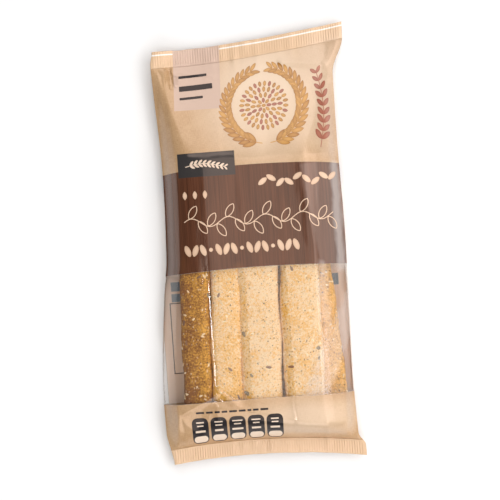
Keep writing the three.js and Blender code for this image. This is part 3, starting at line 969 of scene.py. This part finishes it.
def printBlock(ink, centre, size, corner):  # a field with rounded corners
    (wide, tall), pitch = size, 0.6
    corner = min(corner, wide / 2 - 0.01, tall / 2 - 0.01)
    inset = corner * (1 - np.cos(np.linspace(0, math.pi / 2, 6)))
    flat = np.linspace(-wide / 2 + corner, wide / 2 - corner, max(int(wide / pitch), 2))
    u = np.concatenate([inset[:-1] - wide / 2, flat, wide / 2 - inset[-2::-1]])
    inCorner = np.maximum(np.abs(u) - (wide / 2 - corner), 0)
    reach = tall / 2 - corner + np.sqrt(np.maximum(corner ** 2 - inCorner ** 2, 0))
    v = np.linspace(-1, 1, max(int(tall / pitch), 2) + 1)[:, None] * reach
    points = np.stack(np.broadcast_arrays(u, v), -1).reshape(-1, 2) + centre
    printGrid(ink, points, gridFaces(*v.shape), np.zeros(v.size))


def printLine(ink, path, width, closed=False):
    ahead = np.roll(path, -1, 0) - np.roll(path, 1, 0) if closed else np.gradient(path, axis=0)
    ahead /= np.linalg.norm(ahead, axis=1, keepdims=True)
    aside = np.stack([-ahead[:, 1], ahead[:, 0]], 1) * width / 2
    both = np.stack([path + aside, path - aside], 1).reshape(-1, 2)
    count = len(path)
    nexts = [(j, (j + 1) % count) for j in range(count if closed else count - 1)]
    faces = [[2 * j, 2 * j + 1, 2 * n + 1, 2 * n] for j, n in nexts]
    printGrid(ink, both, faces, np.full(len(both), 0.2))


def pointsAlong(path, start, spacing):
    steps = np.append(0, np.cumsum(np.hypot(*np.diff(path, axis=0).T)))
    at = np.arange(start, steps[-1], spacing)
    return np.stack([np.interp(at, steps, way) for way in path.T], 1)


def leafySprig(ink, path, leafLength, leafWidth, spacing, spread):
    spots = pointsAlong(path, spacing, spacing)
    for k, (spot, way) in enumerate(zip(spots, np.gradient(spots, axis=0))):
        heading = math.degrees(math.atan2(way[1], way[0]))
        size = leafLength * (1 - 0.3 * k / len(spots)) * printDraw.uniform(0.92, 1.06)
        for turn in (heading - spread, heading + spread):
            tip = spot + towards(turn) * size * 0.55
            printOval(ink, tip, size, leafWidth * size / leafLength, turn, 0.75)
    printLine(ink, pointsAlong(path, 0, 0.8), 0.45)


wreath = {
    "centre": (9.0, 80.0), "radius": 22.5, "opening": (6, 165),     # degrees from its foot
    "leaf": (8.2, 3.1, 3.4, 30),    # length, width, spacing, spread
    "grainWidth": 1.9,
    # rings of grains: radius, how many, their length
    "rings": ((0, 1, 2.6), (3.1, 8, 3.0), (6.4, 14, 3.3), (9.8, 21, 3.4), (13.2, 28, 3.3)),
}


def printWreath():
    centre = np.array(wreath["centre"])
    for side in (-1, 1):
        arc = np.array([towards(side * a - 90) for a in np.linspace(*wreath["opening"], 60)])
        leafySprig("golden_print", centre + wreath["radius"] * arc, *wreath["leaf"])
    for radius, count, length in wreath["rings"]:
        for k in range(count):
            turn = 360 * (k + 0.5 * (count % 3)) / count
            ink = "golden_print" if (k + count) % 3 else "red_print"
            printOval(ink, centre + radius * towards(turn), length, wreath["grainWidth"], turn, 0.6)


leafOut = 4.6  # how far a leaf's middle stands off the vine
bandPrint = {
    # rows of motifs: from and to across the bag, spacing, place along it
    "garland": (5, 49, 5.2, 35), "leaves": (-40, 44, 5.5, 13), "grains": (-42, 26, 4.6, -3.4),
    "kernels": (-41.5, -29, 6, 29.5),
    # lengths and widths
    "garlandSeed": (6.4, 3.1), "leaf": (8.6, 4.0), "grain": (7.2, 3.4), "dot": (2.4, 2.4),
    "kernel": (5, 2.6),
    "vine": (-43, 46), "vineWave": (2.6, 22), "lineWidth": 0.5,
}


def bandRow(name):
    start, stop, spacing, along = bandPrint[name]
    return [(k, x, along) for k, x in enumerate(np.arange(start, stop, spacing))]


def vineAt(x):
    height, length = bandPrint["vineWave"]
    return bandPrint["leaves"][3] + height * np.sin(x / length * 2 * math.pi)


def printBand():
    ink, form = "cream_print", bandPrint
    for k, x, y in bandRow("garland"):
        turn = 38 * (-1) ** k + 6 * math.sin(k)
        printOval(ink, (x, y + 1.9 * math.sin(k * 1.9)), *form["garlandSeed"], turn, 0.6)
    x = np.arange(*form["vine"], 0.8)
    printLine(ink, np.stack([x, vineAt(x)], 1), form["lineWidth"])
    for k, x, y in bandRow("leaves"):
        turn = 58 * (-1) ** k
        loop = almondRing(*form["leaf"], turn, 0.75, 30) + (x, vineAt(x)) + leafOut * towards(turn)
        printLine(ink, loop, form["lineWidth"], closed=True)
    for k, x, y in bandRow("grains"):  # every fourth is a dot
        if k % 4 == 3:
            printOval(ink, (x, y), *form["dot"])
        else:
            printOval(ink, (x, y), *form["grain"], 70 if k % 2 else 110, 0.6)
    for k, x, y in bandRow("kernels"):
        printOval(ink, (x, y), *form["kernel"], 90, 0.9)


smallMarks = {
    # from, to, swing, how it bends, then a leaf's length, width, spacing and spread
    "labelSprig": ((-40, 46.4), (-16, 46.4), (0, 1.5), 4, 3.6, 1.5, 2.6, 38),
    "redSprig": ((41, 53), (41, 96), (3.5, 0), 3, 6.2, 2.9, 4.6, 40),
    # place along the bag, from and to across it, height
    "patchBars": ((104, -41, -24, 1.6), (96.5, -41, -21, 3.4), (90, -41, -27, 1.6)),
    # from and to across the bag, place along it
    "shortBars": (-44, -3, -99.6), "shortBarWidth": (2.2, 5.5), "shortBarHeight": 1.2, "shortBarGap": 1.1,
    "tags": 5, "firstTag": (-42.1, -110.3), "tagPitch": 11.15, "tagSize": (9.8, 15.2), "tagCorner": 3.2,
    # place along the bag, width and height
    "tagField": (-115.3, 8.2, 3.9),
    "tagLines": ((-105.4, 5.6, 0.75), (-107.4, 4.2, 0.75), (-110.6, 6.2, 1.2)),
}


def printSprig(ink, start, end, swing, bends, *leaf):
    t = np.linspace(0, 1, 30)[:, None]
    leafySprig(ink, mix(np.array(start), np.array(end), t) + np.sin(bends * t) * swing, *leaf)


def printSmallMarks():
    form = smallMarks
    printSprig("pale_print", *form["labelSprig"])
    for y, x0, x1, tall in form["patchBars"]:
        printBlock("dark_print", ((x0 + x1) / 2, y), (x1 - x0, tall), 0.4)
    printSprig("red_print", *form["redSprig"])
    x, last, y = form["shortBars"]
    while x < last:
        wide = printDraw.uniform(*form["shortBarWidth"])
        printBlock("dark_print", (x + wide / 2, y), (wide, form["shortBarHeight"]), 0.3)
        x += wide + form["shortBarGap"]
    for k in range(form["tags"]):
        x, y = form["firstTag"][0] + form["tagPitch"] * k, form["firstTag"][1]
        printBlock("dark_print", (x, y), form["tagSize"], form["tagCorner"])
        y, wide, tall = form["tagField"]
        printBlock("pale_print", (x, y), (wide, tall), tall / 2)
        for y, wide, tall in form["tagLines"]:
            printBlock("pale_print", (x, y), (wide * printDraw.uniform(0.8, 1.1), tall), 0.2)


def printMaterial(name, light, deep):
    shine = filmInk["darkShine" if name == "dark_print" else "shine"]
    material, tree, shader = startFilmMaterial(name + "_ink", shine)
    place = attribute(tree, "filmPlace")["Vector"]
    tree.links.new(blend(tree, attribute(tree, "shade")["Fac"], light, deep), shader.inputs["Base Color"])
    tree.links.new(wavyFilm(tree, place), shader.inputs["Normal"])
    return material


print("print")
printWreath()
printBand()
printSmallMarks()
for name, sheet in sheets.items():
    light, deep, lift = printInks[name]
    points, place, shade = (np.concatenate(sheet[key]) for key in ("points", "place", "shade"))
    piece = makePiece(name, points, sheet["faces"], printMaterial(name, light, deep),
                      filmPlace=place, shade=shade)

# studio

studio = {
    "pixel": 0.6, "pixels": 500, "distance": 1100.0, "turn": -4.0, "sensor": 36,
    "middle": (-5.2, -5.1, 12.0),   # what the camera looks down at, on the bag's drawing
    "floor": (0.93, 0.93, 0.93), "world": 0.2,
    "floorGap": 0.00015,    # keeps the film that lies flat from sharing the floor's plane
}
# place in metres, where it points, size, radiance, colour
lights = {
    "overheadBox": ((0.66, 0.0, 1.25), (0.66, 0.0, 0), (1.66, 1.5), 1.35, (1, 0.97, 0.95)),
    "rightCeiling": ((0.83, 0.0, 1.2), (0.83, 0, 0), (0.55, 1.5), 1.6, (1, 0.95, 0.95)),
    "rightBox": ((1.5, 0.0, 0.55), (0, 0, 0.05), (0.9, 1.6), 1.4, (1, 0.97, 0.95)),
    "footBox": ((0.15, -1.5, 1.1), (0, 0, 0), (1.6, 1.3), 2.0, (1, 1, 1)),
    "headBox": ((0.15, 1.5, 1.1), (0, 0, 0), (1.6, 1.35), 2.0, (1, 1, 1)),
    "edgeStrip": ((-0.375, -0.30, 1.25), (0, -0.30, 0), (0.52, 0.06), 16, (1, 1, 1)),
}


def makeStage():
    mesh = bpy.data.meshes.new("floor")
    corners = [(x, y, -studio["floorGap"]) for x, y in ((-4, -4), (4, -4), (4, 4), (-4, 4))]
    mesh.from_pydata(corners, [], [(0, 1, 2, 3)])
    mesh.materials.append(startMaterial("paleFloor", Roughness=0.9, Base_Color=studio["floor"])[0])
    floor = addObject("floor", mesh)


def makeLight(name, place, target, size, radiance, colour):
    light = bpy.data.lights.new(name, "AREA")
    light.shape, light.size, light.size_y = "RECTANGLE", *size
    light.energy, light.color = radiance * math.pi * size[0] * size[1], colour
    lamp = addObject(name, light)
    lamp.location = place
    lamp.rotation_euler = (Vector(target) - Vector(place)).to_track_quat("-Z", "Y").to_euler()


def makeCamera():
    data = bpy.data.cameras.new("camera")
    data.sensor_width = studio["sensor"]
    data.lens = studio["sensor"] * studio["distance"] / (studio["pixel"] * studio["pixels"])
    camera = addObject("camera", data)
    camera.location = toFrame(studio["middle"]) + (0, 0, studio["distance"] * millimetre)
    camera.rotation_euler = (0, 0, math.radians(studio["turn"]))
    bpy.context.scene.camera = camera


print("studio")
makeStage()
makeCamera()
for name, spec in lights.items():
    makeLight(name, *spec)
world = bpy.data.worlds.new("studio")
world.use_nodes = True
world.node_tree.nodes["Background"].inputs["Strength"].default_value = studio["world"]
world.node_tree.nodes["Background"].inputs["Color"].default_value = (1, 1, 1, 1)
bpy.context.scene.world = world
bpy.context.scene.view_settings.view_transform = "Standard"
